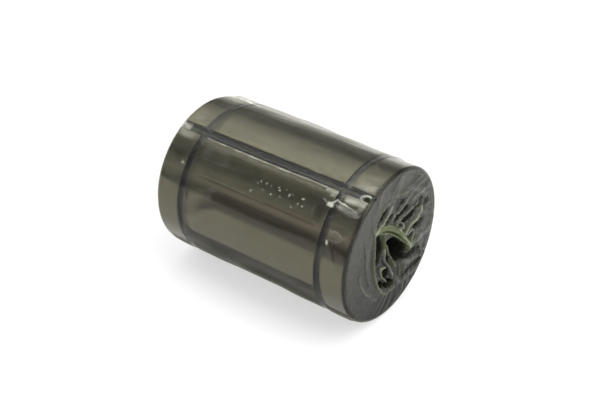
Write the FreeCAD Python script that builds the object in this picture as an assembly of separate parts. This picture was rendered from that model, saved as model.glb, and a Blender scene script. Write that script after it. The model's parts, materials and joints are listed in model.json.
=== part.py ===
"""Slotted linear ball bushing, metric series: shaft 25, outside 40, length 58 (mm).

The bushing lies with its axis along X and its bore centre at the origin. +Z is up.
Angles round the axis are in degrees, from +Z towards -Y. The front end is the one at +X.
Six ball circuits run round inside a plastic cage. In each, a row of balls carries the
shaft, a turn at each end takes the balls out of the load, and a return row brings them
back through a flute in the sleeve. One file is written for each separate piece or group.
"""

import math
import os

import FreeCAD
import Part

# Driving dimensions
SHAFT_R = 12.5
OUTER_R = 20.0
LENGTH = 58.0
BALL_R = 3.969 / 2
CIRCUITS = 6
SLOT_WIDTH = 2.0
SLOT_ANGLE = 26.0
SNAP_GROOVE_SPAN = 44.1  # over the outer flanks of the two grooves
SNAP_GROOVE_WIDTH = 1.85
SNAP_GROOVE_R = 18.75

# Ball path: two straight lines in one plane, joined by half circles
BALL_PITCH = 4.05
ROW_BALLS = 9
TURN_R = 2.85
RUNNING_GAP = 0.05  # between a carried ball and the raceway
LOADED_R = SHAFT_R + BALL_R
RETURN_R = 15.6
HALF_STRAIGHT = ROW_BALLS * BALL_PITCH / 2

# Sleeve
RACEWAY_R = LOADED_R + BALL_R + RUNNING_GAP
RACEWAY_HALF = 17.6
FLUTE_R = BALL_R + 0.15
COUNTERBORE_R = 17.8
END_CHAMFER = 0.6
BORE_CHAMFER = 0.25
SLOT_CHAMFER = 0.3
GROOVE_EDGE = 0.1

# Cage
CAGE_INNER_R = 12.75
CAGE_OUTER_R = RACEWAY_R - 0.1
CAGE_HALF = 25.0
CAGE_CHAMFER = 0.4
TRACK_R = BALL_R + 0.1

# Retaining ring, in a groove inside the sleeve
RING_INNER_R = 13.9
RING_OUTER_R = 18.3
RING_START = 27.6
RING_THICKNESS = 1.0
RING_GAP = 3.0
RING_PLAY = 0.05
RING_EDGE = 0.15

# End seal
SEAL_OUTER_R = COUNTERBORE_R - 0.1
SEAL_START = CAGE_HALF + 0.1
SEAL_END = RING_START - 0.1
COLLAR_R = RING_INNER_R - 0.15
COLLAR_END = 28.45
LIP_START = 27.15  # the lip's land on the shaft
LIP_END = 28.15

X_AXIS = FreeCAD.Vector(1, 0, 0)
ORIGIN = FreeCAD.Vector(0, 0, 0)


def on_circle(radius, angle, x=0.0):
    """The point at this radius, angle and place along the axis."""
    a = math.radians(angle)
    return FreeCAD.Vector(x, -radius * math.sin(a), radius * math.cos(a))


def turned(profile):
    """A solid of revolution about the axis, from (x, radius) corners."""
    points = [FreeCAD.Vector(x, 0, r) for x, r in profile]
    return Part.Face(Part.makePolygon(points + points[:1])).revolve(ORIGIN, X_AXIS, 360)


def mirrored(half):
    """A profile from its half at +X, which runs from the outside inwards."""
    return half + [(-x, r) for x, r in reversed(half)]


def radial_prism(corners, angle, length):
    """A bar along the whole axis, from (across, radius) corners, centred on an angle."""
    points = [FreeCAD.Vector(-length / 2, -across, r) for across, r in corners]
    bar = Part.Face(Part.makePolygon(points + points[:1])).extrude(X_AXIS * length)
    bar.rotate(ORIGIN, X_AXIS, angle)
    return bar


def write(shape, node):
    """Saves one piece, or one group of equal pieces."""
    shape.exportStep(f"parts/{node}.step")
    print(f"{node}: {len(shape.Solids)} solids, {shape.Volume:.2f} mm3, valid {shape.isValid()}")


class Circuit:
    """One closed ball path, centred on an angle round the axis."""

    def __init__(self, angle):
        spacing = 2 * TURN_R
        cosine = (LOADED_R**2 + RETURN_R**2 - spacing**2) / (2 * LOADED_R * RETURN_R)
        spread = math.degrees(math.acos(cosine))
        self.loaded = on_circle(LOADED_R, angle - spread / 2)
        self.back = on_circle(RETURN_R, angle + spread / 2)
        self.middle = (self.loaded + self.back) / 2
        self.across = (self.back - self.loaded) / spacing
        self.inward = X_AXIS.cross(self.across)

    def turn_centre(self, end):
        """The centre of the half circle at the front (end 1) or rear (end -1)."""
        return self.middle + X_AXIS * (end * HALF_STRAIGHT)

    def row(self, line, direction):
        """The ball centres of a straight row, which starts half a row back."""
        start = line - X_AXIS * (direction * HALF_STRAIGHT)
        return [start + X_AXIS * (direction * BALL_PITCH * i) for i in range(ROW_BALLS)]

    def turn(self, end):
        """The centres of the two balls in a turn: at its entry and half way round."""
        centre = self.turn_centre(end)
        entry = centre - self.across * (end * TURN_R)
        return [entry, centre + X_AXIS * (end * TURN_R)]

    def track(self):
        """The room for the balls in the cage: round below, open to the outside above."""
        outward = self.inward * -1
        rise = outward * BALL_R * 2
        pieces = []
        for centre in (self.loaded, self.back):
            start = centre - X_AXIS * HALF_STRAIGHT
            pieces.append(self.section(start, rise).extrude(X_AXIS * (2 * HALF_STRAIGHT)))
        for end in (1, -1):
            entry = self.loaded if end == 1 else self.back
            face = self.section(entry + X_AXIS * (end * HALF_STRAIGHT), rise)
            pieces.append(face.revolve(self.turn_centre(end), self.inward, 180))
        return pieces[0].fuse(pieces[1:])

    def section(self, centre, rise):
        """A U across the track: a half circle under the balls and straight sides above."""
        left = centre - self.across * TRACK_R
        right = centre + self.across * TRACK_R
        bottom = centre + self.inward * TRACK_R
        edges = [
            Part.Arc(left, bottom, right).toShape(),
            Part.makeLine(right, right + rise),
            Part.makeLine(right + rise, left + rise),
            Part.makeLine(left + rise, left),
        ]
        return Part.Face(Part.Wire(edges))


def make_sleeve(circuits):
    """The hardened steel sleeve, with its raceways, return flutes, grooves and slot."""
    half, out = LENGTH / 2, SNAP_GROOVE_SPAN / 2
    ring_end = RING_START + RING_THICKNESS
    profile = mirrored(
        [
            (out - SNAP_GROOVE_WIDTH - GROOVE_EDGE, OUTER_R),
            (out - SNAP_GROOVE_WIDTH, OUTER_R - GROOVE_EDGE),
            (out - SNAP_GROOVE_WIDTH, SNAP_GROOVE_R),
            (out, SNAP_GROOVE_R),
            (out, OUTER_R - GROOVE_EDGE),
            (out + GROOVE_EDGE, OUTER_R),
            (half - END_CHAMFER, OUTER_R),
            (half, OUTER_R - END_CHAMFER),
            (half, COUNTERBORE_R + BORE_CHAMFER),
            (half - BORE_CHAMFER, COUNTERBORE_R),
            (ring_end + RING_PLAY, COUNTERBORE_R),
            (ring_end + RING_PLAY, RING_OUTER_R + RING_PLAY),
            (RING_START - RING_PLAY, RING_OUTER_R + RING_PLAY),
            (RING_START - RING_PLAY, COUNTERBORE_R),
            (RACEWAY_HALF + COUNTERBORE_R - RACEWAY_R, COUNTERBORE_R),
            (RACEWAY_HALF, RACEWAY_R),
        ]
    )
    sleeve = turned(profile)
    flute_length = 2 * (RACEWAY_HALF + COUNTERBORE_R - RACEWAY_R)
    flutes = [
        Part.makeCylinder(FLUTE_R, flute_length, c.back - X_AXIS * (flute_length / 2), X_AXIS)
        for c in circuits
    ]
    side, edge, beyond = SLOT_WIDTH / 2, OUTER_R - SLOT_CHAMFER, OUTER_R + 1
    mouth = side + beyond - edge
    slot = [(side, SHAFT_R), (side, edge), (mouth, beyond), (-mouth, beyond), (-side, edge)]
    slot.append((-side, SHAFT_R))
    return sleeve.cut(flutes + [radial_prism(slot, SLOT_ANGLE, LENGTH + 2)])


def make_cage(circuits):
    """The plastic cage, which keeps the balls in their tracks."""
    cage = turned(
        mirrored(
            [
                (CAGE_HALF - CAGE_CHAMFER, CAGE_OUTER_R),
                (CAGE_HALF, CAGE_OUTER_R - CAGE_CHAMFER),
                (CAGE_HALF, CAGE_INNER_R + CAGE_CHAMFER),
                (CAGE_HALF - CAGE_CHAMFER, CAGE_INNER_R),
            ]
        )
    )
    for circuit in circuits:
        cage = cage.cut(circuit.track())
    return cage


def make_retaining_ring(end):
    """The split steel ring that closes one end, with its gap at the slot."""
    back, front = RING_START, RING_START + RING_THICKNESS
    profile = [
        (back, RING_INNER_R),
        (back, RING_OUTER_R),
        (front - RING_EDGE, RING_OUTER_R),
        (front, RING_OUTER_R - RING_EDGE),
        (front, RING_INNER_R + RING_EDGE),
        (front - RING_EDGE, RING_INNER_R),
    ]
    gap = RING_GAP / 2
    corners = [(gap, 0), (gap, OUTER_R), (-gap, OUTER_R), (-gap, 0)]
    return turned([(end * x, r) for x, r in profile]).cut(
        radial_prism(corners, SLOT_ANGLE, LENGTH)
    )


def make_seal(end):
    """The rubber end seal: a flat body, a collar through the ring and a lip on the shaft."""
    profile = [
        (SEAL_START, SEAL_OUTER_R),
        (SEAL_END, SEAL_OUTER_R),
        (SEAL_END, COLLAR_R),
        (COLLAR_END - 0.2, COLLAR_R),
        (COLLAR_END, COLLAR_R - 0.2),
        (COLLAR_END, SHAFT_R + 0.45),
        (LIP_END, SHAFT_R),
        (LIP_START, SHAFT_R),
        (LIP_START - 0.55, SHAFT_R + 0.6),
        (SEAL_START, SHAFT_R + 0.9),
    ]
    return turned([(end * x, r) for x, r in profile])


def balls(centres):
    """A group of equal balls."""
    return Part.makeCompound([Part.makeSphere(BALL_R, centre) for centre in centres])


def main():
    os.makedirs("parts", exist_ok=True)
    step = 360 / CIRCUITS
    circuits = [Circuit(SLOT_ANGLE + step * (k + 0.5)) for k in range(CIRCUITS)]
    write(make_sleeve(circuits), "outer_sleeve")
    write(make_cage(circuits), "ball_cage")
    for name, end in (("front", 1), ("rear", -1)):
        write(make_retaining_ring(end), f"{name}_retaining_ring")
        write(make_seal(end), f"{name}_seal")
    for k, circuit in enumerate(circuits, 1):
        write(balls(circuit.row(circuit.loaded, 1)), f"circuit_{k}_loaded_balls")
        write(balls(circuit.turn(1)), f"circuit_{k}_front_turn_balls")
        write(balls(circuit.row(circuit.back, -1)), f"circuit_{k}_return_balls")
        write(balls(circuit.turn(-1)), f"circuit_{k}_rear_turn_balls")


main()
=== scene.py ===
import json
import math

import bpy
import numpy as np
from mathutils import Matrix, Vector


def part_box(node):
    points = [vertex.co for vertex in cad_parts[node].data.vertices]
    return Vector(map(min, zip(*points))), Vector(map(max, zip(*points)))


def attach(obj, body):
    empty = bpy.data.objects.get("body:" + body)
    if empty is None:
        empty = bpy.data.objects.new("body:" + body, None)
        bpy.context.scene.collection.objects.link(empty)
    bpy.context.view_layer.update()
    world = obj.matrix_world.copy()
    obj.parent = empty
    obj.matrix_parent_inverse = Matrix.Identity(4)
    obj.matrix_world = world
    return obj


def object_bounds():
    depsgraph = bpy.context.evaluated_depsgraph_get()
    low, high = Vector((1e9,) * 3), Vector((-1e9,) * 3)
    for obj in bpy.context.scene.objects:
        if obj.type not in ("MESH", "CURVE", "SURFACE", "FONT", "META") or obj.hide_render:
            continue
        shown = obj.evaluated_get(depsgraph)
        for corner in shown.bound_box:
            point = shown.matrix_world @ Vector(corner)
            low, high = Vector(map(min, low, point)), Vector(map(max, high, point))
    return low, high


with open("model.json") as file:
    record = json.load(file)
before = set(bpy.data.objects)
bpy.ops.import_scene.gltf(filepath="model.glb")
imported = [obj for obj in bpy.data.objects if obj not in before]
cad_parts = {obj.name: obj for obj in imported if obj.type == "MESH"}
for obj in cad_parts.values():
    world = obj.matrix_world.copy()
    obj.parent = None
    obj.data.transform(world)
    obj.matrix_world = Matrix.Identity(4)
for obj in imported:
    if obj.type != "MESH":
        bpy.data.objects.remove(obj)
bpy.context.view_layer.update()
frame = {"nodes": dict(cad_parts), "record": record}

# ---------------------------------------------------------------- sizes, in metres
MM = 0.001
TURN = 2 * math.pi  # a whole turn, in radians
TINY = 1e-12  # added to a length that divides, as it may be 0
OUTER_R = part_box("outer_sleeve")[1].z
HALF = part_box("outer_sleeve")[1].x
GROOVE = next(m for m in frame["record"]["mounts"] if m["name"] == "front_snap_groove")
GROOVE_X = GROOVE["pos_m"][0]
GROOVE_HALF = GROOVE["dims"]["length_mm"] * MM / 2
SLOT_ANGLE = math.radians(26.0)
SLOT_HALF = 1.0 * MM

# What varies over the packing film, kept with its mesh: how white, green, milky and oily it is
FINISHES = ("white", "green", "milk", "oil")

# The camera, as the object was photographed
CAMERA_AZIMUTH = math.radians(37.1)
CAMERA_ELEVATION = math.radians(33.7)
CAMERA_DISTANCE = 0.283
CAMERA_LENS_MM = 67.2
AIM_RIGHT = 1.14 * MM  # where the camera aims, from the middle of the bushing
AIM_UP = 1.27 * MM


# ---------------------------------------------------------------- node helpers
class Tree:
    """A short way to write a node tree."""

    def __init__(self, owner):
        owner.use_nodes = True
        self.tree = owner.node_tree
        self.tree.nodes.clear()

    def add(self, kind, props=None, **inputs):
        """A node. props are its settings, and inputs its sockets, with _ for a space."""
        node = self.tree.nodes.new(kind)
        for key, value in (props or {}).items():
            setattr(node, key, value)
        for key, value in inputs.items():
            self.put(node.inputs[key.replace("_", " ")], value)
        return node

    def put(self, socket, value):
        """Links another socket to an input, or sets its value."""
        if isinstance(value, bpy.types.NodeSocket):
            self.tree.links.new(value, socket)
        else:
            socket.default_value = value

    def place(self):
        """The place on the object, in metres."""
        return self.add("ShaderNodeTexCoord").outputs["Object"]

    def split(self, vector):
        return self.add("ShaderNodeSeparateXYZ", Vector=vector).outputs

    def math(self, operation, *values, clamp=False):
        node = self.add("ShaderNodeMath", {"operation": operation, "use_clamp": clamp})
        for socket, value in zip(node.inputs, values):
            self.put(socket, value)
        return node.outputs[0]

    def product(self, first, *others):
        """All the values multiplied."""
        for value in others:
            first = self.math("MULTIPLY", first, value)
        return first

    def radius(self, y, z):
        """The distance from the axis."""
        squares = self.math("ADD", self.math("MULTIPLY", y, y), self.math("MULTIPLY", z, z))
        return self.math("SQRT", squares)

    def angle(self, y, z):
        """The angle round the axis, from +Z towards -Y."""
        return self.math("ARCTAN2", self.math("MULTIPLY", y, -1.0), z)

    def noise(self, vector, scale, detail=3.0, rough=0.5, distortion=0.0):
        node = self.add("ShaderNodeTexNoise", Vector=vector, Scale=scale, Detail=detail,
                        Roughness=rough, Distortion=distortion)
        return node.outputs["Fac"]

    def stretched(self, vector, scales, *settings):
        """Noise with a scale of its own along each axis."""
        node = self.add("ShaderNodeVectorMath", {"operation": "MULTIPLY"})
        self.put(node.inputs[0], vector)
        self.put(node.inputs[1], scales)
        return self.noise(node.outputs[0], 1.0, *settings)

    def grain(self, place, along, across, *settings):
        """Noise with one scale along the object's axis and one across it, in waves per metre."""
        return self.stretched(place, (along, across, across), *settings)

    def ramp(self, value, low, high, to_low=0.0, to_high=1.0):
        """A smooth step of value from low to high."""
        node = self.add("ShaderNodeMapRange", {"interpolation_type": "SMOOTHSTEP"})
        for socket, v in zip(node.inputs, (value, low, high, to_low, to_high)):
            self.put(socket, v)
        return node.outputs[0]

    def arc(self, angle, low, high, to_low=0.0, to_high=1.0):
        """A smooth step of an angle from low to high, which are in degrees."""
        return self.ramp(angle, math.radians(low), math.radians(high), to_low, to_high)

    def mix(self, share, a, b):
        """A colour between a and b."""
        node = self.add("ShaderNodeMix", {"data_type": "RGBA"})
        for i, v in ((0, share), (6, a), (7, b)):
            self.put(node.inputs[i], v)
        return node.outputs[2]

    def bump(self, height, distance, strength=1.0):
        node = self.add("ShaderNodeBump", Height=height, Distance=distance, Strength=strength)
        return node.outputs[0]

    def shader(self, kind, **inputs):
        """What a shader node gives."""
        return self.add(kind, **inputs).outputs[0]

    def metal(self, **inputs):
        return self.shader("ShaderNodeBsdfPrincipled", Metallic=1.0, **inputs)

    def blend(self, share, a, b):
        """A shader between a and b."""
        node = self.add("ShaderNodeMixShader")
        for socket, value in zip(node.inputs, (share, a, b)):
            self.put(socket, value)
        return node.outputs[0]

    def finish(self, shader):
        self.add("ShaderNodeOutputMaterial", Surface=shader)


def new_material(name):
    material = bpy.data.materials.new(name)
    return material, Tree(material)


def add_object(name, data):
    new = bpy.data.objects.new(name, data)
    bpy.context.scene.collection.objects.link(new)
    return new


def rgb(r, g, b):
    return (r, g, b, 1.0)


# ---------------------------------------------------------------- materials of the metal and rubber
def ground_colour(t, place, around, rings, streaks):
    """The colour of the ground steel: olive, with brown oil over it, and painted shade that makes it
    darker low down.
    """
    clouds = t.grain(place, 95, 150, 3)
    mottle = t.grain(place, 230, 480, 5, 0.65, 0.6)
    olive = t.mix(t.ramp(clouds, 0.35, 0.7), rgb(0.147, 0.142, 0.103), rgb(0.128, 0.124, 0.090))
    oiled = t.mix(t.product(t.ramp(streaks, 0.52, 0.75), 0.55), olive, rgb(0.110, 0.090, 0.063))
    oiled = t.mix(t.ramp(mottle, 0.42, 0.68, 0.0, 0.60), oiled, rgb(0.092, 0.082, 0.058))
    worn = t.mix(t.ramp(rings, 0.55, 0.8, 0.0, 0.25), oiled, rgb(0.21, 0.205, 0.165))
    # painted shade: the steel is darker low down, and darker still underneath
    low = t.mix(t.arc(around, 66, 76, 0.0, 0.6), worn, rgb(0.092, 0.083, 0.058))
    return t.mix(t.arc(around, 92, 104, 0.0, 0.35), low, rgb(0.060, 0.054, 0.038))


def painted_reflection_bands(t, colour, x, around, streaks):
    """The colour with a painted reflection of warm light streaked along the side, and a painted dark
    reflection band below it.
    """
    # painted reflection: a lighter, warmer band, streaked like oil
    warm_reflection = t.product(t.arc(around, 53, 58), t.arc(around, 60, 66, 1.0, 0.0),
                      t.ramp(x, -16 * MM, 2 * MM), t.ramp(streaks, 0.35, 0.65, 0.35, 1.0))
    colour = t.mix(warm_reflection, colour, rgb(0.175, 0.132, 0.104))
    # the painted dark reflection band curves down at its rear end
    bend = t.product(t.ramp(x, -20 * MM, -9 * MM, 1.0, 0.0), math.radians(13))
    level = t.math("SUBTRACT", around, bend)
    dark_reflection_band = t.product(t.arc(level, 60.5, 64), t.arc(level, 72.5, 77.5, 1.0, 0.0),
                    t.ramp(x, -20 * MM, -13 * MM), t.ramp(streaks, 0.25, 0.6, 0.75, 1.0))
    dark_reflection_colour = t.mix(t.arc(level, 61, 72), rgb(0.096, 0.080, 0.058), rgb(0.031, 0.027, 0.019))
    return t.mix(dark_reflection_band, colour, dark_reflection_colour)


def shaded_recess_colour(t, x, around):
    """The colour below the surface, darker than the surface as painted shade. Each groove has painted
    shade along one wall, which widens low down, where its floor is painted darker too.
    """
    local = t.math("SUBTRACT", x, t.product(t.math("SIGN", x), GROOVE_X))
    floor = t.mix(t.arc(around, 30, 45), rgb(0.098, 0.095, 0.076), rgb(0.052, 0.049, 0.039))
    edge = t.arc(around, 25, 50, -0.62 * MM, -0.15 * MM)
    # painted shade along one wall of the groove
    wall_shade = t.ramp(t.math("SUBTRACT", local, edge), -0.12 * MM, 0.12 * MM, 1.0, 0.0)
    groove = t.mix(wall_shade, floor, rgb(0.016, 0.015, 0.012))
    inside = t.ramp(t.math("ABSOLUTE", local), GROOVE_HALF, GROOVE_HALF + 0.05 * MM, 1.0, 0.0)
    return t.mix(inside, rgb(0.062, 0.059, 0.047), groove)


def sleeve_steel():
    """Ground bearing steel under oil: rings from grinding, brown oil streaks, dark end faces. Light and
    dark bands along the side are painted reflections, and the steel has painted shade low down, in its
    recesses and along the chamfers.
    """
    material, t = new_material("sleeve_steel")
    place = t.place()
    x, y, z = t.split(place)
    around = t.angle(y, z)
    rings = t.grain(place, 5200, 25, 4, 0.65)
    bands = t.grain(place, 420, 9, 2)
    streaks = t.grain(place, 45, 900, 4, 0.6, 0.6)
    colour = painted_reflection_bands(t, ground_colour(t, place, around, rings, streaks), x, around, streaks)
    surface = t.ramp(t.radius(y, z), OUTER_R - 0.30 * MM, OUTER_R - 0.02 * MM)
    # painted shade: below the surface the steel takes the darker recess colour
    colour = t.mix(surface, shaded_recess_colour(t, x, around), colour)
    out = t.math("ABSOLUTE", x)
    # painted shade along the chamfers at the ends
    chamfer_shade = t.ramp(out, HALF - 0.75 * MM, HALF - 0.50 * MM, 0.0, 0.75)
    colour = t.mix(chamfer_shade, colour, rgb(0.030, 0.028, 0.022))
    face = t.ramp(out, HALF - 0.10 * MM, HALF - 0.02 * MM)
    colour = t.mix(face, colour, rgb(0.080, 0.081, 0.074))
    rough = t.math("ADD", t.product(bands, 0.07), t.ramp(streaks, 0.3, 0.8, 0.11, 0.19))
    rough = t.math("ADD", rough, t.product(face, 0.22))
    t.finish(t.metal(Base_Color=colour, Roughness=rough, Normal=t.bump(rings, 0.0012 * MM, 0.8)))
    return material


def ring_steel():
    """Stamped spring steel: blued dark, with a fine satin grain."""
    material, t = new_material("ring_steel")
    place = t.place()
    grain = t.noise(place, 5200, 4, 0.6)
    patches = t.noise(place, 260, 3)
    colour = t.mix(t.ramp(patches, 0.3, 0.7), rgb(0.150, 0.155, 0.145), rgb(0.105, 0.110, 0.104))
    rough = t.ramp(grain, 0.2, 0.8, 0.30, 0.44)
    t.finish(t.metal(Base_Color=colour, Roughness=rough, Normal=t.bump(grain, 0.003 * MM, 0.7)))
    return material


def ball_steel():
    """Polished chrome steel balls, with a trace of grease."""
    material, t = new_material("ball_steel")
    place = t.place()
    smear = t.noise(place, 700, 3, 0.6)
    marks = t.grain(place, 2600, 900, 2)
    colour = t.mix(t.ramp(smear, 0.45, 0.75), rgb(0.66, 0.66, 0.64), rgb(0.50, 0.48, 0.40))
    rough = t.math("ADD", t.ramp(smear, 0.4, 0.8, 0.06, 0.17), t.ramp(marks, 0.6, 0.8, 0.0, 0.05))
    t.finish(t.metal(Base_Color=colour, Roughness=rough))
    return material


def cage_plastic():
    """Dark moulded acetal, with a soft eggshell surface and an oil film here and there."""
    material, t = new_material("cage_plastic")
    place = t.place()
    grain = t.noise(place, 3800, 3, 0.6)
    oil = t.noise(place, 210, 3)
    colour = t.mix(t.ramp(oil, 0.3, 0.7), rgb(0.030, 0.032, 0.026), rgb(0.019, 0.020, 0.017))
    rough = t.math("ADD", t.ramp(oil, 0.4, 0.6, 0.26, 0.42), t.product(grain, 0.10))
    t.finish(t.shader("ShaderNodeBsdfPrincipled", Base_Color=colour, Roughness=rough,
                      Normal=t.bump(grain, 0.006 * MM, 0.6)))
    return material


def seal_rubber():
    """Green nitrile rubber, with fine rings from its mould and a dull bloom."""
    material, t = new_material("seal_rubber")
    place = t.place()
    ring_pitch = 0.22 * MM
    radius = t.radius(*t.split(place)[1:])
    mould = t.math("SINE", t.product(radius, TURN / ring_pitch))
    grain = t.noise(place, 4200, 4, 0.65)
    bloom = t.noise(place, 420, 3)
    colour = t.mix(t.ramp(bloom, 0.35, 0.7), rgb(0.080, 0.125, 0.032), rgb(0.120, 0.165, 0.060))
    height = t.math("ADD", grain, t.product(mould, 0.25))
    rough = t.ramp(grain, 0.2, 0.8, 0.42, 0.60)
    t.finish(t.shader("ShaderNodeBsdfPrincipled", Base_Color=colour, Roughness=rough,
                      Normal=t.bump(height, 0.008 * MM, 0.6)))
    return material


def wrap_film():
    """Clear stretch film. Loose layers are milky, folds white, partly as painted highlights, and the
    gathered ends greenish. Painted shade darkens it in deep folds and hollows, and low down.
    """
    material, t = new_material("wrap_film")
    white, green, milk, oil = (t.add("ShaderNodeAttribute", {"attribute_name": name}).outputs["Fac"]
                               for name in FINISHES)
    place = t.place()
    cloth = t.add("ShaderNodeUVMap", {"uv_map": "wrap"}).outputs[0]
    pull = t.stretched(cloth, (620, 45, 1), 4, 0.55, 0.8)
    clouds = t.noise(place, 330, 4, 0.6)
    normal = t.bump(pull, 0.03 * MM, 0.5)
    # the clear film, tinted by the oil behind it. Oil past 1 means painted shade in a deep fold: a dark
    # tint, with no gloss left
    fold_shade = t.ramp(oil, 0.9, 1.7)
    tint = t.mix(oil, rgb(0.965, 0.963, 0.915), rgb(0.50, 0.48, 0.41))
    tint = t.mix(fold_shade, tint, rgb(0.41, 0.41, 0.33))
    facing = t.add("ShaderNodeLayerWeight", Blend=0.5, Normal=normal).outputs["Facing"]
    gloss = t.math("MULTIPLY_ADD", milk, 0.05, 0.024)  # least where it clings, with oil behind it
    gloss = t.math("MULTIPLY_ADD", t.math("POWER", facing, 5.0), 0.42, gloss)
    gloss = t.product(gloss, t.math("MULTIPLY_ADD", fold_shade, -0.94, 1.0))
    shine = t.shader("ShaderNodeBsdfAnisotropic", Color=rgb(1, 1, 1), Roughness=0.10, Normal=normal)
    clear = t.blend(gloss, t.shader("ShaderNodeBsdfTransparent", Color=tint), shine)
    # and the haze that covers it where it is loose, creased or gathered, with painted shade: darker
    # towards the bottom, lighter on top
    colour = t.mix(t.ramp(t.split(place)[2], -OUTER_R, OUTER_R), rgb(0.010, 0.010, 0.007),
                   rgb(0.060, 0.061, 0.049))
    colour = t.mix(green, colour, rgb(0.058, 0.078, 0.013))
    # white creases, patches and strands: partly whitened film, partly painted highlights
    veil = t.math("DIVIDE", white, t.math("ADD", white, t.math("MULTIPLY_ADD", milk, 0.5, 0.05)))
    colour = t.mix(veil, colour, rgb(0.66, 0.67, 0.57))
    haze = t.shader("ShaderNodeBsdfPrincipled", Base_Color=colour, Roughness=0.30, Normal=normal,
                    Specular_IOR_Level=0.12)
    cover = t.math("MULTIPLY_ADD", t.ramp(pull, 0.42, 0.75), 0.16, milk)
    cover = t.product(cover, t.ramp(clouds, 0.25, 0.75, 0.60, 0.90))
    cover = t.math("ADD", cover, t.product(white, 0.9))
    cover = t.math("ADD", cover, t.product(green, 0.55), clamp=True)
    t.finish(t.blend(cover, clear, haze))
    return material


MATERIALS = {
    "sleeve_steel": sleeve_steel(),
    "ring_steel": ring_steel(),
    "ball_steel": ball_steel(),
    "cage_plastic": cage_plastic(),
    "seal_rubber": seal_rubber(),
    "wrap_film": wrap_film(),
}
for part in frame["record"]["subparts"]:
    node = frame["nodes"][part["node"]]
    node.data.materials.clear()
    node.data.materials.append(MATERIALS[part["material_slot"]])


# ---------------------------------------------------------------- the packing film
FILM_GAP = 0.10 * MM  # from the steel to the film
SEAM = math.radians(214)  # where the inner edge of the film lies, behind and below
OVERLAP = math.radians(22)  # how far the outer edge is wound past the inner one
OVERLAP_LIFT = 0.06 * MM
CORNER_R = 0.9 * MM  # of the film over the sleeve's outer edges
MOUTH_R = 0.8 * MM  # of the open hole that the film is gathered into
TUCK = 2.5 * MM  # how far the film goes on into the mouth

# Heights and depths of the film over the gathered ends, in mm
PLEAT = 0.30
STRAND = 0.20
DISH = 1.0  # how far the loose film sinks in round the mouth
HOLLOW_SHADE = 0.9  # the depth over which the daylight in a hollow falls to about a third
# The seal's lip and the ring lie close behind the film: its lowest height there, by the radius
LIP_RADII, LIP_HEIGHTS = (11.5, 12.2, 13.0, 13.3), (-12, -0.5, -0.5, -0.25)

# Places on the side are (mm along the axis, degrees round it). The film clings to the steel in
# panels with round corners: middle, half length, half width and corner in mm
PANELS = [
    ((0.7, 45), 19.7, 20.2, 1.8),
    ((25.5, 46), 3.4, 26.5, 1.5),
    ((-25.4, 46), 3.4, 27.5, 1.5),
    ((0.0, 172), 18.0, 8.0, 4.0),
    ((25.4, 185), 2.8, 16.0, 1.5),
    ((-0.5, 262), 18.8, 14.5, 4.0),
    ((-25.6, 240), 2.8, 26.0, 1.5),
    ((25.6, 292), 2.8, 15.0, 1.5),
]
# Creases: width in mm, whiteness, and the places they run through. Their whiteness is painted
# highlight, with some whitening of the creased film
CREASES = [
    # beside the slot, and across the strip that stands off the steel there; the bright line below the
    # slot is a painted highlight
    (0.18, 0.60, [(-19.2, 30.2), (-8, 30.7), (4, 30.8), (12, 30.4), (17.4, 30.6)]),
    (0.14, 0.12, [(-19.6, 22.8), (-8, 22.9), (8, 22.9), (20, 22.8)]),
    (0.18, 0.30, [(22.2, 22.9), (24.0, 23.0), (26.4, 23.0), (28.2, 22.6)]),
    (0.20, 0.10, [(-20.0, 36.5), (-18.8, 33.0), (-16.6, 31.3)]),
    (0.16, 0.10, [(-17.2, 56.2), (-8, 55.8), (3.6, 56.4)]),
    # the crumple beside the front groove
    (0.16, 0.30, [(17.8, 38.6), (18.8, 39.9)]),
    (0.20, 0.90, [(20.9, 36.8), (20.5, 38.4), (20.0, 39.6)]),
    (0.20, 0.95, [(21.1, 35.8), (22.2, 37.0), (23.4, 37.2), (24.6, 38.0), (25.6, 38.2), (26.9, 39.2)]),
    (0.24, 0.26, [(21.6, 39.6), (23.0, 41.2), (25.0, 42.4), (27.2, 42.2), (28.2, 40.0), (28.5, 37.0)]),
    (0.14, 0.07, [(16.6, 44.5), (16.3, 48.5), (17.4, 54.0)]),
    (0.14, 0.28, [(21.8, 53.6), (23.0, 56.4), (24.4, 55.4), (26.2, 57.8)]),
    (0.14, 0.25, [(22.6, 60.4), (24.2, 62.2), (25.8, 60.0), (27.6, 55.0)]),
    # the loop at the slot's mouth
    (0.24, 0.80, [(28.3, 31.0), (26.9, 30.6), (26.0, 28.6), (26.5, 26.4), (27.7, 25.4), (28.7, 26.2)]),
    # single painted glints beside the grooves
    (0.26, 0.90, [(22.7, 63.4), (22.8, 65.2)]),
    (0.32, 0.55, [(-22.7, 52.6), (-22.5, 53.6)]),
    # long soft folds
    (0.80, 0.035, [(-20, 79), (-16.5, 72), (-12, 64.5)]),
    (0.45, 0.06, [(23.0, 68), (24.4, 71), (26.2, 82)]),
    (0.30, 0.05, [(22.6, -4), (24.0, -1), (26.6, 6)]),
]


def painted_glints(seed=8, count=17, start=-1.5, length=15.5, low=42.0, high=52.5):
    """Short painted glints on the film, scattered at random over a strip."""
    pick = np.random.default_rng(seed)
    marks = []
    for k in range(count):
        x = start + length * (k + pick.uniform(0, 1)) / count
        angle, way = pick.uniform(low, high), pick.uniform(0, TURN)
        half = pick.uniform(0.04, 0.32)
        du, dv = half * math.cos(way), math.degrees(half * math.sin(way) * MM / OUTER_R)
        marks.append((pick.uniform(0.10, 0.17), pick.uniform(0.25, 1.0),
                      [(x - du, angle - dv), (x + du, angle + dv)]))
    return marks


CREASES += painted_glints()
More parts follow.
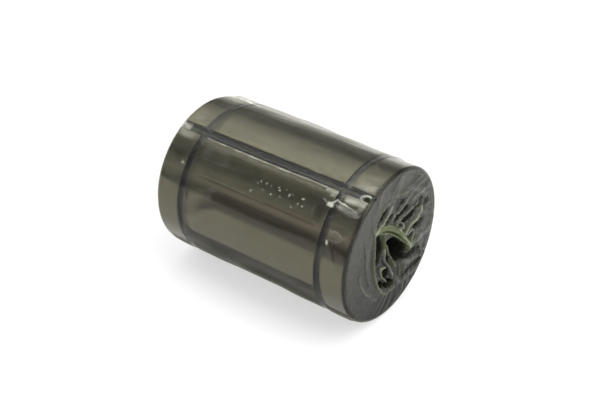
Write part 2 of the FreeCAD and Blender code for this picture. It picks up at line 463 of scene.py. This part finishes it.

# Patches: place, half length and half width in mm, then how white, milky and oily they are. Their
# whiteness is painted highlight and reflection on the loose film
PATCHES = [
    ((25.5, 32.8), 3.0, 1.10, 0.62, 0.0, 0.0),
    ((22.3, 33.2), 0.8, 1.00, 0.05, 0.2, 0.3),
    ((24.9, 39.8), 2.9, 0.70, 0.26, 0.4, 0.0),
    ((20.0, 40.5), 0.9, 0.55, 1.00, 0.0, 0.0),
    ((18.7, 31.8), 1.7, 0.60, 0.60, 0.0, 0.0),
    ((19.4, 33.6), 0.8, 0.60, 0.45, 0.0, 0.0),
    ((25.8, 19.8), 2.9, 1.60, 0.26, 0.0, 0.0),
    ((25.6, 14.0), 2.9, 3.60, 0.07, 0.0, 0.0),
    ((-25.4, 32.6), 2.9, 1.40, 0.36, 0.0, 0.0),
    ((-25.4, 13.0), 2.9, 4.00, 0.09, 0.0, 0.0),
    ((27.4, 36.4), 0.9, 0.80, 0.35, 0.0, 0.0),
    ((18.2, 48.6), 1.7, 2.3, 0.0, 0.0, 0.60),
    ((-24.9, 48.5), 2.2, 2.4, 0.0, 0.0, 0.30),
    ((-27.2, 25.6), 1.5, 0.70, 0.35, 0.2, 0.0),
    ((-25.4, 66.0), 2.8, 2.60, 0.03, 0.0, 0.0),
    ((-14.0, 40.0), 5.5, 2.60, 0.055, 0.0, 0.0),
    ((3.0, 34.8), 15.0, 0.80, 0.020, 0.0, 0.0),
    ((25.0, 57.5), 3.0, 1.60, 0.05, 0.0, 0.0),
    ((0.5, 57.4), 17.5, 0.22, 0.0, 0.0, 0.45),
]

# Painted shade inside the loop at the slot's mouth, a dark hole in the fold: middle, half length and
# half width in mm
LOOP_SHADE = ((27.6, 28.2), 0.85, 0.65)
# The film stands off the steel along the top at the back: angle, width in radians, height in mm
PUFF = (math.radians(-38), 0.45, 0.65)
# and a painted highlight just this side of it: angle, width in radians, whiteness
TOP_HIGHLIGHT = (math.radians(-24), 0.16, 0.055)
# A net of fine wrinkles by the front groove: middle, width in mm, whiteness (painted highlight along
# the wrinkles) and height in mm
NET = ((24.0, 52), 3.4, 0.12, 0.08)

# Gathered film in the front mouth, as places (y, z) in mm on the end face. Strands are pulled
# taut from fold to fold: width, whiteness, greenness, and the places they run through
# The strands' whiteness is partly painted highlight along their crests.
STRANDS = [
    (0.38, 0.04, 0.50, [(-8.6, 9.4), (-7.7, 6), (-7.5, 1.5), (-7.4, -3), (-6.2, -7.6), (-4.4, -11),
                        (-2.2, -13.1), (2.0, -13.6)]),
    (0.72, 0.01, 1.00, [(-6.8, 7.3), (-3.0, 6.6), (0.6, 4.2), (3.6, 1.6), (6.6, -1.8), (8.6, -5.0)]),
    (0.16, 0.08, 1.00, [(-7.4, 7.2), (-4.0, 7.5), (-0.4, 5.9), (3.4, 2.6), (6.4, -0.6)]),
    (0.26, 0.08, 0.80, [(4.6, 0.2), (6.8, -2.2), (9.0, -5.2)]),
    (0.16, 0.08, 1.00, [(-5.0, 6.2), (-1.6, 4.4), (2.6, 1.0), (6.0, -2.4), (9.0, -5.4)]),
    (0.26, 0.02, 0.90, [(-3.6, 6.0), (-3.2, 3.4), (-3.0, 0.4)]),
    (0.24, 0.15, 0.50, [(-3.0, 0.6), (-2.6, -2.5), (-0.8, -5.6), (0.9, -9.2)]),
    (0.22, 0.06, 0.80, [(-2.4, 1.6), (-1.2, -1.6), (0.6, -4.4), (1.8, -7.2)]),
    (0.17, 0.20, 0.50, [(-2.4, -5.0), (-4.1, -4.8), (-3.9, -6.8), (-2.4, -8.8), (-1.4, -10.4)]),
    (0.18, 0.11, 0.70, [(-7.8, 9.9), (-5.2, 12.2), (-2.5, 13.6)]),
    (0.24, 0.22, 0.60, [(-7.6, 7.6), (-5.6, 8.2), (-3.4, 9.4), (-0.8, 11.8)]),
    (0.16, 0.22, 0.30, [(-0.3, 6.6), (0.5, 8.1), (3.4, 8.5), (6.3, 10.6)]),
    (0.16, 0.22, 0.30, [(2.2, 4.4), (4.4, 5.8), (7.4, 5.9), (10.2, 7.4)]),
    (0.20, 0.34, 0.10, [(3.7, 2.4), (5.0, 2.4), (5.1, 3.8)]),
    (0.36, 0.16, 0.70, [(6.2, 0.0), (8.4, 1.6), (11.4, 2.2), (13.4, 4.2)]),
    (0.16, 0.18, 0.50, [(8.7, -4.6), (9.7, -2.2), (9.3, -0.3), (7.0, -0.8)]),
    (0.80, 0.06, 0.10, [(8.9, -5.3), (12.4, -4.3), (17.6, -4.0)]),
    (0.60, 0.012, 0.10, [(4.9, -7.2), (8.9, -9.5), (16.2, -9.6)]),
    (0.60, 0.04, 0.10, [(2.8, -11.4), (4.2, -13.2), (9.2, -13.8), (14.2, -13.0)]),
    (0.40, 0.02, 0.00, [(-13.9, -1.0), (-12.6, -5.4), (-10.0, -9.2), (-6.4, -12.4)]),
    (0.30, 0.02, 0.00, [(-12.0, 7.8), (-11.4, 3.0), (-11.0, -1.6), (-9.2, -6.6)]),
    (0.60, 0.03, 0.10, [(-2.5, 13.6), (2.4, 13.3), (7.4, 12.4), (11.2, 10.2), (14.6, 6.9)]),
]
# The hollows between them: middle, half length and half width, direction in degrees from +y
# towards +z, and depth
HOLLOWS = [
    ((2.7, -2.9), 5.4, 2.7, -43, 11.0),
    ((-5.3, 1.4), 4.9, 1.9, -85, 6.0),
    ((-1.5, -3.2), 3.0, 1.2, -65, 5.0),
    ((-1.9, -7.2), 2.1, 1.5, -60, 3.2),
    ((-0.5, -11.1), 2.7, 1.3, -35, 3.4),
    ((-3.9, -9.4), 1.9, 0.7, -58, 2.6),
    ((-4.8, 10.9), 2.8, 1.4, 42, 3.0),
    ((-1.3, 8.3), 1.9, 0.8, 25, 1.6),
    ((3.0, 10.2), 2.4, 1.0, 20, 1.6),
    ((3.7, 7.0), 3.6, 1.3, 15, 4.0),
    ((7.3, 4.2), 3.6, 1.3, 10, 4.0),
    ((11.4, 6.4), 1.9, 1.3, 40, 1.4),
    ((14.7, 5.2), 1.9, 1.3, 65, 0.3),
    ((11.8, 0.2), 2.4, 1.0, 10, 2.2),
    ((8.1, -1.6), 1.4, 1.1, 20, 2.6),
    ((9.2, -7.4), 3.9, 1.0, -3, 0.9),
    ((9.6, -11.7), 5.0, 0.9, 3, 0.3),
]


def bell(distance, width):
    """1 at a distance of 0, falling smoothly to 0 beyond about twice the width."""
    return np.exp(-((distance / width) ** 2))


def step(value, low, high):
    """A smooth step from 0 at low to 1 at high."""
    s = np.clip((value - low) / (high - low), 0, 1)
    return s * s * (3 - 2 * s)


def away(angle, centre):
    """The signed difference of two angles, from -pi to pi."""
    return (angle - centre + math.pi) % TURN - math.pi


def ripple(around, along, seed, waves, turns, pitch):
    """Smooth irregular waves round the axis and along it, about -1 to 1."""
    pick = np.random.default_rng(seed)
    total = 0.0
    for _ in range(waves):
        k = int(pick.integers(*turns))
        q = pick.uniform(-1, 1) * TURN / pitch
        total = total + np.sin(k * around + q * along + pick.uniform(0, TURN))
    return total / math.sqrt(waves)


def rounded_box(u, v, half_u, half_v, corner):
    """The signed distance to the outline of a box with round corners, below 0 inside."""
    du, dv = np.abs(u) - half_u + corner, np.abs(v) - half_v + corner
    outside = np.hypot(np.maximum(du, 0), np.maximum(dv, 0))
    return outside + np.minimum(np.maximum(du, dv), 0) - corner


def smooth_path(points, steps=6):
    """Points along a smooth curve through the given ones (Catmull-Rom)."""
    p = np.array(points, float)
    p = np.vstack([2 * p[0] - p[1], p, 2 * p[-1] - p[-2]])
    out = []
    for a, b, c, d in zip(p, p[1:], p[2:], p[3:]):
        for s in np.linspace(0, 1, steps, endpoint=False):
            out.append(0.5 * (2 * b + (c - a) * s + (2 * a - 5 * b + 4 * c - d) * s**2
                              + (3 * b - a - 3 * c + d) * s**3))
    return np.array(out + [p[-2]])


def distance_to(path, u, v):
    """The distance from each place to a line of points."""
    nearest = np.full(np.shape(u), np.inf)
    for (au, av), (bu, bv) in zip(path, path[1:]):
        du, dv = bu - au, bv - av
        s = np.clip(((u - au) * du + (v - av) * dv) / (du * du + dv * dv + TINY), 0, 1)
        nearest = np.minimum(nearest, np.hypot(u - au - s * du, v - av - s * dv))
    return nearest


class Gather:
    """One gathered end of the film, as heights over the end face."""

    def __init__(self, strands, hollows, hole, seed, smooth_side):
        self.strands = [(w, white, green, smooth_path(points))
                        for w, white, green, points in strands]
        self.hollows = hollows
        self.hole = np.array([0, *hole]) * MM
        self.seed = seed
        self.smooth_side = smooth_side

    def wrinkles(self, y, z):
        """Small pleats of the loose face, about -1 to 1. They fade where it is pulled smooth."""
        turn, r = np.arctan2(-y, z), np.hypot(y, z)
        loose = 0.06 + 0.94 * step(np.abs(away(turn, self.smooth_side)), 0.8, 2.2)
        fine = ripple(turn + 0.05 * r, r, self.seed, 7, (18, 46), 14.0)
        wide = ripple(turn + 0.05 * r, r, self.seed + 1, 5, (5, 15), 12.0)
        return loose * (0.45 * fine + 0.55 * wide) * step(r, 6, 12)

    def strands_at(self, y, z):
        """How near each place is to the top of a strand, 0 to 1, and its white and green."""
        crest, white, green = (np.zeros(np.shape(y)) for _ in range(3))
        for width, whiteness, greenness, path in self.strands:
            far = distance_to(path, y, z)
            crest = np.maximum(crest, 1 - step(far, 0.35 * width, 1.5 * width))
            white = np.maximum(white, whiteness * bell(far, 0.8 * width))
            green = np.maximum(green, greenness * bell(far, 1.5 * width))
        return crest, white, green

    def hollows_at(self, y, z):
        """How deep each place is sunk in mm, and how far it is inside a hollow, 0 to 1."""
        sink, inside = np.zeros(np.shape(y)), np.zeros(np.shape(y))
        for (cy, cz), long, wide, way, depth in self.hollows:
            c, s = math.cos(math.radians(way)), math.sin(math.radians(way))
            u, v = (y - cy) * c + (z - cz) * s, (z - cz) * c - (y - cy) * s
            shape = 1 - step(np.hypot(u / long, v / wide), 0.45, 1.10)
            sink = np.maximum(sink, depth * shape)
            inside = np.maximum(inside, step(shape, 0.0, 0.2))
        return sink, inside

    def surface(self, y, z):
        """Height over the face in mm, then white, green, milk and oil, at each place in mm."""
        crest, white, green = self.strands_at(y, z)
        sink, inside = self.hollows_at(y, z)
        sunk = 1 - 0.93 * crest  # a strand hardly sinks into the hollow it crosses
        r = np.hypot(y, z)
        pleats = self.wrinkles(y, z)
        dish = DISH * (1 - step(r, 3, 12.5)) * (1 - inside)
        height = PLEAT * pleats + STRAND * crest - (sink + dish) * sunk
        height = np.maximum(height, np.interp(r, LIP_RADII, LIP_HEIGHTS))
        shade = np.exp(-sink * sunk / HOLLOW_SHADE) * (1 - 0.8 * inside * (1 - crest))
        thin = step(pleats, 0.15, 0.9) * step(r, 8, 12)
        # painted shade: the hollows lose white, green and milk, and take the dark oil tint
        milk = (0.5 + 0.5 * shade) * (1 - 0.5 * crest) * (1 - 0.75 * thin)
        white = np.maximum(white, 0.025 * step(-pleats, 0.3, 1.0) * step(r, 8, 12)) * shade
        oil = np.maximum(np.minimum(2.4 * (1 - shade), 2.0), 0.5 * thin)
        oil = np.maximum(oil, 1.25 * step(-z, 9, 16.5))  # painted shade: darker towards the bottom of the face
        return height, white, green * shade, milk, oil


def rear_gather(seed=11, count=20):
    """The rear mouth: plain radial pleats into an off-centre hole."""
    pick = np.random.default_rng(seed)
    turns = (np.arange(count) + pick.uniform(-0.3, 0.3, count)) * TURN / count
    hole = np.array([-1.6, 1.2])
    strands, hollows = [], [(hole, 2.6, 2.0, 30, 9.0)]
    for turn, following in zip(turns, np.append(turns[1:], turns[0] + TURN)):
        way = np.array([-math.sin(turn), math.cos(turn)])
        side = np.array([way[1], -way[0]]) * pick.uniform(-1.0, 1.0)
        points = [hole + way * 2.4, way * 7 + side + hole * 0.4, way * pick.uniform(12.5, 18.0)]
        strands.append((pick.uniform(0.2, 0.5), pick.uniform(0.1, 0.6), pick.uniform(0.1, 0.8), points))
        middle, far = (turn + following) / 2, pick.uniform(7.0, 9.0)
        hollows.append(((-far * math.sin(middle), far * math.cos(middle)), 3.6, 0.8,
                        90 + math.degrees(middle), pick.uniform(1.5, 4.0)))
    return Gather(strands, hollows, hole, 47, math.radians(250))


FRONT = Gather(STRANDS, HOLLOWS, (2.9, -3.2), 31, math.radians(100))
REAR = rear_gather()


def underside(angle):
    """1 on the lower part of the sleeve and 0 elsewhere: where the film gets a darker oil tint, as
    painted shade.
    """
    front, back = math.radians(100), math.radians(262)
    return step(away(angle, front), -0.15, 0.45) * step(away(angle, back), 0.35, -0.25)


class Side:
    """The film on the side: its lift off the steel in mm, and how white, milky and oily it is."""

    def __init__(self, angle, mm):
        self.angle, self.mm = angle, mm
        cling = np.zeros(angle.shape)
        for place, half_x, half_arc, corner in PANELS:
            edge = rounded_box(*self.at(place), half_x, half_arc, corner)
            cling = np.maximum(cling, 1 - step(edge, -0.3, 0.3))
        loose, low = 1 - cling, underside(angle)
        # it is loose in blotches, and stands off in low waves everywhere
        blotch = np.clip(0.5 + 0.5 * ripple(angle, mm, 6, 6, (4, 22), 12), 0, 1.4)
        self.lift = 0.03 * ripple(angle, mm, 3, 6, (3, 14), 30)
        self.lift += 0.015 * ripple(angle, mm, 4, 6, (20, 46), 40)
        self.lift += loose * (0.05 + 0.22 * blotch)
        middle, width, height = PUFF
        self.lift += height * bell(away(angle, middle), width) * step(-mm, -22, 6)
        # painted highlight along the top
        middle, width, whiteness = TOP_HIGHLIGHT
        self.white = 0.012 + whiteness * bell(away(angle, middle), width)
        self.milk = loose * (0.14 + 0.24 * blotch)
        self.oil = loose * (0.42 + 0.30 * blotch)
        # painted shade: more dark oil tint on the underside
        self.oil += 0.60 * loose * step(low, 0.04, 0.4) + 0.35 * step(low, 0.5, 1.0)
        # whiteness is never even along a crease or over a patch
        self.uneven = np.clip(0.82 + 0.25 * ripple(angle, mm, 12, 6, (4, 60), 4), 0.45, 1.1)

    def at(self, place):
        """How far each point lies from a place, in mm along the axis and round it."""
        along, turn = place
        return self.mm - along, away(self.angle, math.radians(turn)) * OUTER_R / MM

    def patch(self, place, half_x, half_arc, white, milk, oil):
        """A raised place with soft edges, at least as white, milky and oily as given. Its white is
        painted highlight.
        """
        corner = 0.8 * min(half_x, half_arc)
        edge = rounded_box(*self.at(place), half_x, half_arc, corner)
        inside = 1 - step(edge, -0.8 * half_arc, 0.25)
        self.white = np.maximum(self.white, white * inside * self.uneven)
        self.milk = np.maximum(self.milk, milk * inside)
        self.oil = np.maximum(self.oil, oil * inside)
        self.lift += 0.12 * inside

    def crease(self, width, white, places):
        """A raised line through the places, with painted highlight along it. A long one is broken up.
        """
        # the angle is taken from the crease's own first place, so that no crease meets the seam
        first = places[0][1]
        arc = self.at((0, first))[1]
        path = [(x, math.radians(turn - first) * OUTER_R / MM) for x, turn in places]
        near = bell(distance_to(smooth_path(path), self.mm, arc), width)
        broken = self.uneven**2 if len(places) > 3 else 1
        self.white = np.maximum(self.white, white * near * broken)
        self.lift += min(0.20, 0.6 * width) * near

    def wrinkle(self, place, width, white, height):
        """A net of fine wrinkles: lines where a random wave passes through 0, raised and given painted
        highlight.
        """
        u, v = self.at(place)
        lines = np.maximum(1 - 5 * np.abs(ripple(self.angle, self.mm, 8, 5, (30, 90), 3.2)), 0)
        lines = lines * bell(np.hypot(u * 0.8, v * 0.4), width)
        self.white = np.maximum(self.white, white * lines)
        self.lift += height * lines

    def span_gaps(self):
        """Over the grooves and the slot it sags a little and is clear, but for a painted highlight
        along the far edge.
        """
        def over(distance, half):
            return 1 - step(np.abs(distance), half / MM - 0.25, half / MM + 0.05)

        past = self.mm - np.sign(self.mm) * GROOVE_X / MM
        across = self.at((0, math.degrees(SLOT_ANGLE)))[1]
        groove, slot = over(np.abs(self.mm) - GROOVE_X / MM, GROOVE_HALF), over(across, SLOT_HALF)
        high = 1 - step(away(self.angle, math.radians(40)), -0.25, 0.1)
        far_edge_highlight = groove * (1 - slot) * step(past, -0.6, 0.3 - 0.3 * high)
        # painted highlight over the far side of the grooves and the slot
        self.white += (0.015 + 0.055 * high) * far_edge_highlight
        self.white += 0.05 * slot * step(across, -0.3, 0.8)
        gap = np.maximum(groove, slot)
        self.milk = self.milk * (1 - 0.8 * gap) + 0.06 * slot
        self.oil = self.oil * (1 - 0.85 * gap)
        self.lift = self.lift * (1 - 0.6 * gap) - 0.05 * gap

    def hole(self, place, half_x, half_arc):
        """Painted shade in a fold: a dark hole, without white or milk."""
        edge = rounded_box(*self.at(place), half_x, half_arc, half_arc)
        inside = 1 - step(edge, -0.35, 0.15)
        self.white, self.milk = self.white * (1 - inside), self.milk * (1 - inside)
        self.oil = np.maximum(self.oil, 2.0 * inside)


def side_skin(angle, mm):
    """The film on the side: its lift off the steel in mm, then white, green, milk and oil."""
    side = Side(angle, mm)
    for patch in PATCHES:
        side.patch(*patch)
    for crease in CREASES:
        side.crease(*crease)
    side.wrinkle(*NET)
    side.span_gaps()
    side.hole(*LOOP_SHADE)
    lowest = 0.01 - FILM_GAP / MM  # just clear of the steel
    return np.maximum(side.lift, lowest), side.white, np.zeros(angle.shape), side.milk, side.oil


# Mesh points round the film, closest together over the crumpled strip of the side
ANGLES = SEAM + np.concatenate([
    np.linspace(0, math.radians(166), 120, endpoint=False),
    np.linspace(math.radians(166), math.radians(216), 96, endpoint=False),
    np.linspace(math.radians(216), TURN + OVERLAP, 120)])
SPOKES = np.stack([0 * ANGLES, -np.sin(ANGLES), np.cos(ANGLES)], 1)
AXIS = np.array([1.0, 0, 0])
EDGE_ROWS = 5
NECK_ROWS = 5
FINE_R = 14.5 * MM  # the rings of the mesh are close together inside this radius


def side_grid():
    """Points and finishes of the film along the side, from the rear edge to the front one."""
    edge = HALF + FILM_GAP - CORNER_R
    coarse_end = -2 * MM  # the mesh is finer from here on, where the photograph shows more
    x = np.concatenate([np.linspace(-edge, coarse_end, 35), np.linspace(coarse_end, edge, 120)[1:]])
    lift, *finish = side_skin(*np.meshgrid(ANGLES, x / MM))
    lift *= step(edge - abs(x), 0, 0.8 * MM)[:, None]
    radius = OUTER_R + FILM_GAP + lift * MM
    return x[:, None, None] * AXIS + radius[..., None] * SPOKES, np.array(finish)


def end_grid(gather, end, rings):
    """Points and finishes from the sleeve's edge over one end face and into the mouth."""
    corner = OUTER_R + FILM_GAP - CORNER_R
    level = HALF + FILM_GAP
    # round the edge, with oil in the gap, and more of it on the underside as painted shade
    turn = np.linspace(0.2, 1.0, EDGE_ROWS)[:, None, None] * math.pi / 2
    edge = (corner + CORNER_R * np.cos(turn)) * SPOKES
    edge = edge + (level - CORNER_R * (1 - np.sin(turn))) * AXIS
    edge_finish = np.zeros((len(FINISHES), EDGE_ROWS, len(ANGLES)))
    edge_finish[FINISHES.index("oil")] = 0.6 + 0.4 * step(underside(ANGLES), 0.2, 1.0)
    # over the face, where the rings shift towards the mouth
    outer = corner + (FINE_R - corner) * np.linspace(0, 1, 20)[1:, None, None]
    inner = np.linspace(FINE_R, MOUTH_R, rings)[1:, None, None]
    r = np.concatenate([outer, inner])
    flat = r * SPOKES + gather.hole * (1 - step(r, 1 * MM, 14 * MM))
    height, *finish = gather.surface(flat[..., 1] / MM, flat[..., 2] / MM)
    rise = step(corner - r[..., 0], 0, 1.2 * MM)
    face = flat + (level + height * rise * MM)[..., None] * AXIS
    # and into the mouth, where it flares
    t = np.linspace(0, 1, NECK_ROWS + 1)[1:, None]
    wave = ripple(ANGLES, t, gather.seed, 4, (3, 9), 1)
    radius = MOUTH_R * (1 + 0.9 * t) * (1 + 0.2 * t * wave)
    neck = radius[..., None] * SPOKES + gather.hole
    neck = neck + (face[-1, :, 0].mean() - TUCK * t[..., None]) * AXIS
    neck_finish = np.zeros((len(FINISHES), NECK_ROWS, len(ANGLES)))
    grid = np.concatenate([edge, face, neck]) * np.array([end, 1, 1])
    return grid, np.concatenate([edge_finish, finish, neck_finish], axis=1)


def wound_film():
    """Points and finishes of the whole film, in rows from the rear mouth to the front one."""
    rear, side, front = end_grid(REAR, -1, 24), side_grid(), end_grid(FRONT, 1, 62)
    grid = np.concatenate([rear[0][::-1], side[0], front[0]])
    finish = np.concatenate([rear[1][:, ::-1], side[1], front[1]], axis=1)
    outward = np.cross(np.gradient(grid, axis=1), np.gradient(grid, axis=0))
    outward /= np.linalg.norm(outward, axis=2, keepdims=True) + TINY
    over = step(ANGLES - SEAM - TURN, -0.01, 0.01)
    return grid + outward * (OVERLAP_LIFT * over)[None, :, None], finish


def sheet_mesh(name, grid, finish):
    """A mesh of the rows of points, with its finishes and its flat layout in metres."""
    m, n = grid.shape[:2]
    i, j = np.meshgrid(np.arange(m - 1), np.arange(n - 1), indexing="ij")
    rows, columns = np.stack([i, i, i + 1, i + 1], -1), np.stack([j, j + 1, j + 1, j], -1)
    mesh = bpy.data.meshes.new(name)
    quads = (rows * n + columns).reshape(-1, 4)
    mesh.from_pydata(grid.reshape(-1, 3).tolist(), [], quads.tolist())
    for key, values in zip(FINISHES, finish):
        values = values.reshape(-1).astype(np.float32)
        mesh.attributes.new(key, "FLOAT", "POINT").data.foreach_set("value", values)
    gaps = np.linalg.norm(np.diff(grid, axis=0), axis=2).mean(1)
    along = np.concatenate([[0], np.cumsum(gaps)])
    uv = np.stack([(ANGLES[columns] - SEAM) * OUTER_R, along[rows]], -1)
    mesh.uv_layers.new(name="wrap").data.foreach_set("uv", uv.reshape(-1).astype(np.float32))
    mesh.polygons.foreach_set("use_smooth", [True] * len(mesh.polygons))
    return mesh


def make_film():
    """The film as one open sheet, wound round and tucked in at both ends."""
    mesh = sheet_mesh("packing_film", *wound_film())
    mesh.materials.append(MATERIALS["wrap_film"])
    film = add_object("packing_film", mesh)
    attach(film, "housing")


make_film()


# ---------------------------------------------------------------- floor, light and camera
def make_floor():
    """A plain white light table just under the object."""
    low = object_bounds()[0][2]
    size = 3.0
    mesh = bpy.data.meshes.new("floor")
    corners = [(-size, -size, low), (size, -size, low), (size, size, low), (-size, size, low)]
    mesh.from_pydata(corners, [], [(0, 1, 2, 3)])
    floor = add_object("floor", mesh)
    material, t = new_material("floor")
    white = t.shader("ShaderNodeBsdfDiffuse", Color=rgb(0.50, 0.50, 0.50))
    glow = t.shader("ShaderNodeEmission", Color=rgb(1, 1, 1), Strength=0.55)
    both = t.add("ShaderNodeAddShader")
    t.put(both.inputs[0], white)
    t.put(both.inputs[1], glow)
    t.finish(both.outputs[0])
    mesh.materials.append(material)


# How bright the studio is round the object's axis: degrees from +Z towards -Y, and brightness
STUDIO = [
    (-180, 1.05), (-100, 1.05), (-90, 1.00), (-76, 0.42), (-67, 0.22), (-58, 0.42), (-48, 0.82),
    (-30, 1.42), (-12, 1.66), (0, 1.60), (12, 1.18), (24, 0.36), (44, 0.32), (53, 0.62), (60, 0.62),
    (68, 0.84), (80, 0.38), (95, 0.28), (105, 0.75), (136, 0.90), (150, 0.83), (164, 0.86),
    (180, 1.05),
]


def make_world():
    world = bpy.data.worlds.new("studio")
    bpy.context.scene.world = world
    t = Tree(world)
    x, y, z = t.split(t.add("ShaderNodeTexCoord").outputs["Generated"])
    turn = t.math("MULTIPLY_ADD", t.angle(y, z), 1 / TURN, 0.5)
    ramp = t.add("ShaderNodeValToRGB", Fac=turn)
    stops = ramp.color_ramp.elements
    while len(stops) < len(STUDIO):
        stops.new(0.5)
    for stop, (degrees, value) in zip(stops, STUDIO):
        stop.position = (degrees + 180) / 360
        stop.color = (value, value, value, 1)
    beyond = t.math("ADD", t.ramp(x, 0.0, 0.5), t.ramp(x, -0.70, -0.90))
    fill = t.math("MULTIPLY_ADD", beyond, 1.0, 1.0)  # twice as bright beyond both ends
    light = t.shader("ShaderNodeBackground", Color=ramp.outputs[0], Strength=fill)
    t.add("ShaderNodeOutputWorld", Surface=light)


def make_lamp():
    """A square softbox high above the front, which gives no reflection of its own."""
    light = bpy.data.lights.new("overhead", "AREA")
    light.shape = "RECTANGLE"
    light.size, light.size_y = 1.0, 1.0
    light.energy = 0.8
    lamp = add_object("overhead", light)
    lamp.location = (0.05, -0.25, 0.9)
    lamp.rotation_euler = (-lamp.location).to_track_quat("-Z", "Y").to_euler()
    lamp.visible_glossy = False


def make_camera():
    az, el = CAMERA_AZIMUTH, CAMERA_ELEVATION
    right = Vector((math.cos(az), math.sin(az), 0))
    forward = Vector((-math.sin(az) * math.cos(el), math.cos(az) * math.cos(el), -math.sin(el)))
    up = right.cross(forward)
    camera = bpy.data.cameras.new("camera")
    camera.lens = CAMERA_LENS_MM
    camera.sensor_width = 36.0
    camera.clip_start = 0.01
    holder = add_object("camera", camera)
    eye = right * AIM_RIGHT + up * AIM_UP - forward * CAMERA_DISTANCE
    turn = Matrix((right, up, -forward)).transposed().to_4x4()
    holder.matrix_world = Matrix.Translation(eye) @ turn
    bpy.context.scene.camera = holder


make_floor()
make_world()
make_lamp()
make_camera()
bpy.context.scene.view_settings.view_transform = "Standard"
